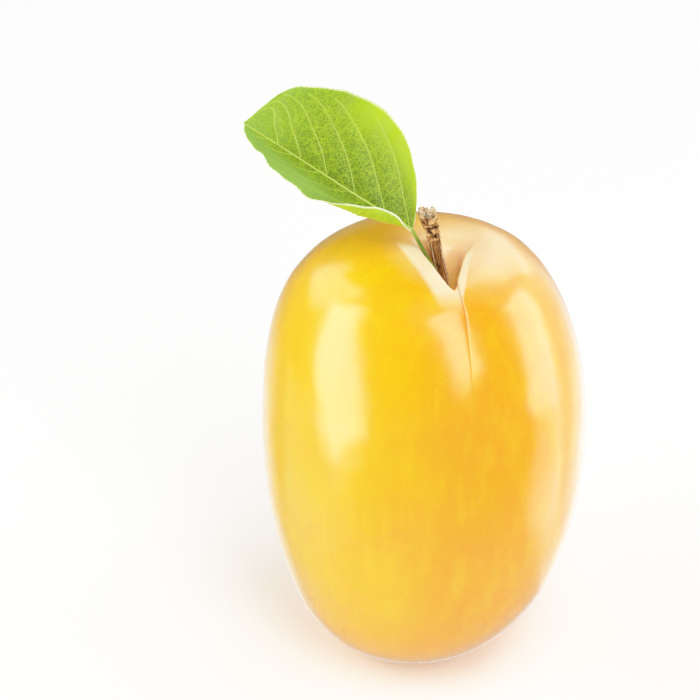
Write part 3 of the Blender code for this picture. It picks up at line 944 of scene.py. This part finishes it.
up = blade_normals(blade)
margin_at = np.where(on_near, near_margin_at[:, None], far_margin_at[:, None])
wave = np.sin(math.tau * margin_at / LONG_WAVE + 1) + 0.6 * np.sin(math.tau * margin_at / SHORT_WAVE)
wave = WAVE * wave * np.abs(across_leaf) ** 3 * smooth_step(half / 3)
puff = PUFF * (1 - np.exp(-((to_vein / PUFF_WIDTH) ** 2)))
puff = puff * np.where(on_near, NEAR_PUFF, 1)
blade = blade + up * (wave + puff)[..., None]
up = blade_normals(blade)

thick = HALF_THICKNESS * np.sqrt(np.maximum(0, 1 - across_leaf ** 8))[..., None]
upper, under = blade + up * thick, blade - up * thick
rows = np.concatenate((upper, under[:, -2:0:-1]), axis=1)
print("closed rows of", rows.shape[1], "points")

# %% [markdown]
# ## Leaf material: a waxy green blade
#
# A leaf's upper side is a glossy cuticle over dark green cells, crossed by a fine net of veinlets
# that are paler because they hold no green. The net's meshes are about a third of a millimetre wide.
# The underside is paler and matt. A leaf is thin enough for light to come through, and subsurface
# scattering over half a millimetre stands for that. The far half is painted yellower towards its margin,
# for light shining through it, and painted darkest in the hollow beside the midrib, for shade. The tip
# and the near half are painted paler, for sheen, and their net is smoother.

# %% Mix the leaf green
NET_SIZE, BRANCH_SPACING = 0.32, 1.5

leaf_green, t = new_material("leaf_cuticle")
chart_place = add(t, "ShaderNodeUVMap", uv_map="chart")
share_along, share_across, near_vein, on_rim, on_under = (
    add(t, ATTRIBUTE, attribute_name=name, out=2)
    for name in ("share_along", "share_across", "near_vein", "on_rim", "on_under"))

mottle = add(t, NOISE, chart_place, named={"Scale": 0.45, "Detail": 2.0})
# Painted transmitted light: the far half turns yellower towards its margin.
lit_margin = add(t, SMOOTH_RAMP, share_across, 0.45, 0.95, 0.0, 1.0)
lit_margin = add(t, TIMES, lit_margin, add(t, SMOOTH_RAMP, share_along, 0.75, 0.45, 0.0, 1.0))
# Painted sheen: the tip turns paler and bluer.
tip_sheen = add(t, SMOOTH_RAMP, share_along, 0.6, 0.95, 0.0, 0.6)
# Painted shade: darkest green in the hollow beside the midrib.
midrib_shade = add(t, RAMP, share_across, 0.45, -0.1, 0.0, 0.8)
midrib_shade = add(t, TIMES, midrib_shade, add(t, RAMP, share_along, 0.8, 0.45))
# Painted sheen: the near half turns paler towards its margin.
near_half_sheen = add(t, RAMP, share_across, -0.05, -0.5, 0.0, 0.9)
near_half_sheen = add(t, TIMES, near_half_sheen, add(t, RAMP, share_along, 0.15, 0.55))

wander = add(t, NOISE, chart_place, named={"Scale": 1.6, "Detail": 2.0}, out=1)
wander = add(t, VECTOR_MINUS, wander, (0.5, 0.5, 0.5))
wander = add(t, VECTOR, wander, named={3: 0.5}, operation="SCALE")
chart_bent = add(t, VECTOR_PLUS, chart_place, wander)
net, coarse = (add(t, "ShaderNodeTexVoronoi", chart_bent, named={"Scale": 1 / width},
                   feature="DISTANCE_TO_EDGE") for width in (NET_SIZE, BRANCH_SPACING))
veinlets = add(t, RAMP, net, 0.0, 0.18, 0.6, 0.0)
branches = add(t, RAMP, coarse, 0.0, 0.05, 0.75, 0.0)
netted = add(t, LARGER, veinlets, branches)
for smooth_part in (lit_margin, tip_sheen, near_half_sheen):
    still_netted = add(t, TIMES_PLUS, smooth_part, -0.7, 1.0)
    netted = add(t, TIMES, netted, still_netted)
netted = add(t, TIMES, netted, add(t, RAMP, on_under, 0.0, 1.0, 1.0, 0.3))

green = add(t, MIX, mottle, named={6: linear("#628200"), 7: linear("#708d02")}, **OF_COLOURS)
for share, colour in (
    # Painted transmitted light on the far margin.
    (lit_margin, "#a3bd04"),  # yellow green along the sunny margin
    # Painted sheen on the tip.
    (tip_sheen, "#88ab36"),  # a bluer green where the blade thins
    # Painted shade in the hollow by the midrib.
    (midrib_shade, "#4f6f00"),  # deep green in the hollow
    # Painted sheen on the folded-up near half.
    (near_half_sheen, "#86aa50"),  # the pale half that is folded up
    (netted, "#aec41c"),  # the net of veinlets
    (add(t, TIMES, near_vein, 0.45), "#aec640"),  # tissue beside the veins
    (add(t, TIMES, on_under, 0.85), "#b0cc1c"),  # the underside
    (on_rim, "#eef6cc"),  # the pale dry edge
):
    green = add(t, MIX, share, named={6: green, 7: linear(colour)}, **OF_COLOURS)

cells = add(t, RAMP, net, 0.0, 0.3, 0.0, 1.0)
dimples = add(t, BUMP, named={"Strength": 0.35, "Distance": 0.05 * MM, "Height": cells})
cuticle = add(t, RAMP, on_under, 0.0, 1.0, 0.46, 0.6)
leaf = add(t, SURFACE, named={
    "Base Color": green, "Roughness": cuticle, "IOR": 1.45, "Normal": dimples,
    "Subsurface Weight": 0.25, "Subsurface Radius": (0.5, 1.0, 0.1), "Subsurface Scale": 0.5 * MM,
})
add(t, OUTPUT, leaf)
print("leaf nodes:", len(t.nodes))

# %% Build the blade
ring_size = rows.shape[1]
leaf_blade = lofted("leaf_blade", [[Vector(p) * MM for p in row] for row in rows], leaf_green,
                    Vector(rows[0].mean(axis=0)) * MM, Vector(rows[-1].mean(axis=0)) * MM)


def over_blade(name, grid, at_start, at_end):
    """Stores a grid of numbers on both faces of the blade."""
    both = np.concatenate((grid, grid[:, -2:0:-1]), axis=1)
    store(leaf_blade, name, np.concatenate((both.ravel(), [at_start, at_end])))


everywhere = np.ones(half.shape)
over_blade("share_along", s * everywhere, 0, 1)
over_blade("share_across", across_leaf * everywhere, 0, 0)
over_blade("near_vein", np.exp(-((to_vein / 0.1) ** 2)), 1, 1)
rim = smooth_step(1.25 - (1 - np.abs(across_leaf)) * half / 0.24)
over_blade("on_rim", rim * everywhere, 0, 1)
is_under = np.zeros((ROWS, ring_size))
is_under[:, 2 * STEPS + 1 :] = 1
store(leaf_blade, "on_under", np.concatenate((is_under.ravel(), [0, 0])))

both_charts = np.concatenate((chart, chart[:, -2:0:-1]), axis=1).reshape(-1, 2)
both_charts = np.concatenate((both_charts, [[0, 0], [midrib_at[-1], 0]]))
corner_points = np.zeros(len(leaf_blade.data.loops), dtype=np.int32)
leaf_blade.data.loops.foreach_get("vertex_index", corner_points)
chart_map = leaf_blade.data.uv_layers.new(name="chart")
chart_map.data.foreach_set("uv", both_charts[corner_points].astype(np.float32).ravel())
finished(leaf_blade, "leaf")

# %% [markdown]
# ## Veins, midrib and leaf stalk
#
# Veins stand out under a leaf like the ribs of an umbrella, and show on top as fine pale lines. They
# are tubes along the lines already drawn, thin on the upper side and twice as thick below. The midrib
# carries on as the leaf stalk, which runs down over the rim of the stalk cavity.

# %% Lay tubes along the veins
def on_blade(vein, lift):
    """Places on the blade for a vein's points, a height in mm above its middle."""
    row = np.interp(vein[:, 0], along_leaf, np.arange(ROWS))
    column = (vein[:, 1] + 1) * STEPS
    low_r, low_c = np.floor(row).astype(int), np.floor(column).astype(int)
    high_r, high_c = np.minimum(low_r + 1, ROWS - 1), np.minimum(low_c + 1, 2 * STEPS)
    r, c = (row - low_r)[:, None], (column - low_c)[:, None]
    surface = blade + up * lift
    low = surface[low_r, low_c] * (1 - c) + surface[low_r, high_c] * c
    high = surface[high_r, low_c] * (1 - c) + surface[high_r, high_c] * c
    return low * (1 - r) + high * r


def tube_line(points, radii):
    """Points and radii in mm as the (place, radius) pairs of a tube, in metres."""
    return [(Vector(point) * MM, radius * MM) for point, radius in zip(points, radii)]


def vein_line(vein, lift, start_radius, end_radius):
    """A vein's tube, from its line on the chart."""
    return tube_line(on_blade(vein, lift), np.linspace(start_radius, end_radius, len(vein)))


vein_lines = []
for vein in veins:
    stout = 1.0 if vein[-1, 1] > 0 else 0.6
    vein_lines.append(vein_line(vein, HALF_THICKNESS - 0.02, 0.05 * stout, 0.02 * stout))
    vein_lines.append(vein_line(vein, 0.03 - HALF_THICKNESS, 0.09 * stout, 0.04 * stout))
leaf_vein, t = new_material("leaf_vein")
place = add(t, "ShaderNodeTexCoord", out=3)
sap = add(t, NOISE, place, named={"Scale": 1 / (1.5 * MM), "Detail": 2.0})
_, _, z = add(t, SPLIT, place).node.outputs
on_leaf = add(t, RAMP, z, 59.5 * MM, 61.5 * MM, 0.0, 1.0)
sap = add(t, MIX, sap, named={6: linear("#a9c23c"), 7: linear("#c9dc78")}, **OF_COLOURS)
sap = add(t, MIX, on_leaf, named={6: linear("#6f8a1c"), 7: sap}, **OF_COLOURS)
sap = add(t, SURFACE, named={"Base Color": sap, "Roughness": 0.42, "IOR": 1.45,
          "Subsurface Weight": 0.2, "Subsurface Radius": (0.5, 1.0, 0.1), "Subsurface Scale": 0.4 * MM})
add(t, OUTPUT, sap)
leaf_veins = grown("leaf_veins", tube_tree(leaf_vein), {"Thickness": 1.0, "Sides": 8},
                   lines_seed("veins", vein_lines))
finished(leaf_veins)

# %% Grow the leaf stalk into the midrib
LEAF_STALK_FOOT = np.array((2.0, -2.25, 54.6))
MIDRIB_RADIUS, MIDRIB_TAPER, MIDRIB_END_SHARE = 0.22, 0.17, 0.985

stalk_shares = np.linspace(0, 1, 30)[:-1, None]
climb = BLADE_BASE - LEAF_STALK_FOOT
leaf_stalk_line = bezier(stalk_shares, LEAF_STALK_FOOT, LEAF_STALK_FOOT + 0.35 * climb,
                         LEAF_STALK_FOOT + 0.75 * climb, BLADE_BASE)
midrib_shares = np.linspace(0, MIDRIB_END_SHARE, 60)
midrib_line = on_blade(np.column_stack((midrib_shares, np.zeros(60))), HALF_THICKNESS)
radii = np.concatenate((np.full(29, MIDRIB_RADIUS), MIDRIB_RADIUS - MIDRIB_TAPER * midrib_shares**0.8))
whole = tube_line(np.concatenate((leaf_stalk_line, midrib_line)), radii)
leaf_stalk = grown("leaf_stalk", tube_tree(leaf_vein), {"Thickness": 1.0, "Sides": 16},
                   lines_seed("stalk_and_midrib", [whole]))
finished(leaf_stalk)

# %% [markdown]
# ## Light, table and air
#
# Glossy fruit is lit by what it mirrors. Each soft box below is placed where one stretch of the skin
# looks. The left box draws the long cream streak down the left lobe, with a box above it for the
# shoulder and a weak one low down. The front box lights the flank of the suture, the right boxes light
# the right side, and the back and shoulder boxes give the pale rims. A big box overhead lights the
# top, the leaf and the table. It is kept out of mirror images, because it would blank out the top.
#
# A white table would mirror in the front of the skin and wash its gold out, so the table is kept out
# of mirror images too. That lets the low boxes show from below the table's level.

# %% Light the fruit
LIT_PLACE = Vector((0, 0, 0.04))
LAMP_DISTANCE = 0.6


def soft_box(name, azimuth, elevation, width, tall, brightness, lean=0):
    """A rectangular light seen from the fruit at those angles; azimuth runs from the camera to the right."""
    light = bpy.data.lights.new(name, "AREA")
    light.shape = "RECTANGLE"
    light.size = 2 * LAMP_DISTANCE * math.tan(math.radians(width / 2))
    light.size_y = 2 * LAMP_DISTANCE * math.tan(math.radians(tall / 2))
    light.energy = math.pi * light.size * light.size_y * brightness
    lamp = placed(name, light)
    round_fruit, up_from_table = math.radians(azimuth), math.radians(elevation)
    lamp.location = LIT_PLACE + LAMP_DISTANCE * Vector((
        math.sin(round_fruit) * math.cos(up_from_table),
        -math.cos(round_fruit) * math.cos(up_from_table),
        math.sin(up_from_table)))
    facing_fruit = (LIT_PLACE - lamp.location).to_track_quat("-Z", "Y")
    lamp.rotation_euler = (facing_fruit @ Quaternion((0, 0, 1), math.radians(lean))).to_euler()
    lamp.visible_camera = False
    return lamp


soft_box("left_box", -68, 10, 32, 72, 5.3, lean=30)
soft_box("left_low_box", -82, -30, 52, 32, 0.45)
soft_box("left_top_box", -120, 34, 34, 40, 2.1)
soft_box("front_box", 29, 38, 25, 60, 4.1, lean=14)
soft_box("right_box", 98, 6, 32, 48, 3.7, lean=-14)
soft_box("right_low_box", 96, -31, 26, 22, 1.4)
soft_box("back_box", 132, -15, 50, 68, 0.7)
soft_box("shoulder_box", 153, 28, 34, 42, 1.5)
soft_box("top_box", 60, 72, 42, 32, 4.1).visible_glossy = False

print("nine soft boxes")

# %% [markdown]
# The air round the fruit is dim, and brighter in two places that the skin mirrors: straight below, and
# low down behind, where the table would be seen at a slant in the fruit's rim. The view's tone curve
# lifts the middle tones and bends the brightest over, so highlights turn cream before they turn white.

# %% Fill the air and set the tone curve
AIR, BELOW, BEHIND, TABLE_FAR = 0.08, 0.5, 0.16, 0.95
BRIGHTEST = 1.5
TONE_POINTS = ((0.2, 0.3), (0.4, 0.585), (0.533, 0.74), (0.667, 0.86), (0.8, 0.94))
COMBINED = 3

air = bpy.data.worlds.new("white_cove")
air.use_nodes = True
t = air.node_tree
_, way_y, way_z = add(t, SPLIT, add(t, "ShaderNodeTexCoord")).node.outputs
below = add(t, SMOOTH_RAMP, way_z, -0.45, -0.8, 0.0, BELOW)
behind = add(t, SMOOTH_RAMP, way_y, 0.1, 0.75, 0.0, BEHIND)
behind = add(t, TIMES, behind, add(t, SMOOTH_RAMP, way_z, 0.3, -0.1, 0.0, 1.0))
table_far = add(t, SMOOTH_RAMP, way_y, 0.4, 0.75, 0.0, TABLE_FAR)
table_far = add(t, TIMES, table_far, add(t, RAMP, way_z, -0.3, -0.55, 0.0, 1.0))
behind = add(t, PLUS, behind, table_far)
cove = add(t, PLUS, add(t, LARGER, below, behind), AIR)
t.links.new(cove, t.nodes["Background"].inputs["Strength"])
t.nodes["Background"].inputs["Color"].default_value = linear("#ffffff")
bpy.context.scene.world = air

view = bpy.context.scene.view_settings
view.view_transform = "Standard"
view.use_curve_mapping = True
tone = view.curve_mapping
tone.white_level = (BRIGHTEST, BRIGHTEST, BRIGHTEST)
for light_in, light_out in TONE_POINTS:
    tone.curves[COMBINED].points.new(light_in, light_out)
tone.update()
print("tone curve points:", len(tone.curves[COMBINED].points))

# %% [markdown]
# The fruit stands on a matt white table that glows a little by itself, which keeps the shadow pale.
# Round it lies a sweep of white paper, flat and then up a wall. Only the camera sees it, and it fades
# in with distance, so no edge shows.

# %% Lay the table and the sweep
TABLE_HALF, TABLE_LEVEL, TABLE_GLOW = 2, -2e-5, 0.12
SWEEP_PROFILE, SWEEP_SIDES = ((0.4, 0.0), (0.8, 0.0), (1.8, 0.0), (1.9, 0.1), (1.9, 2.0)), 64
FADES_FROM, FADES_TO, PAPER_SHINE = 0.4, 0.75, 1.3

table_top, t = new_material("matt_white_table")
white = {"Base Color": linear("#fdfdfb"), "Roughness": 0.7}
glow = {"Emission Color": linear("#ffffff"), "Emission Strength": TABLE_GLOW}
add(t, OUTPUT, add(t, SURFACE, named={**white, **glow}))
corners = [(x * TABLE_HALF, y * TABLE_HALF, TABLE_LEVEL) for x, y in ((-1, -1), (1, -1), (1, 1), (-1, 1))]
floor = meshed("floor", corners, [(0, 1, 2, 3)], table_top)
floor.visible_glossy = False

paper, t = new_material("white_backdrop_paper")
away = add(t, VECTOR, add(t, "ShaderNodeTexCoord", out=3), operation="LENGTH", out=1)
solid = add(t, SMOOTH_RAMP, away, FADES_FROM, FADES_TO, 0.0, 1.0)
clear = add(t, "ShaderNodeBsdfTransparent")
shine = add(t, "ShaderNodeEmission", linear("#fbfbfa"), PAPER_SHINE)
add(t, OUTPUT, add(t, "ShaderNodeMixShader", solid, clear, shine))
paper.cycles.emission_sampling = "NONE"
turns = [math.tau * side / SWEEP_SIDES for side in range(SWEEP_SIDES)]
sweep_points = [(reach_out * math.cos(turn), reach_out * math.sin(turn), up_high)
                for reach_out, up_high in SWEEP_PROFILE for turn in turns]
backdrop = meshed("backdrop", sweep_points, strips(len(SWEEP_PROFILE), SWEEP_SIDES), paper)
backdrop.visible_glossy = backdrop.visible_diffuse = backdrop.visible_shadow = False
backdrop.visible_transmission = False
print("a white table and", len(sweep_points), "points of backdrop")
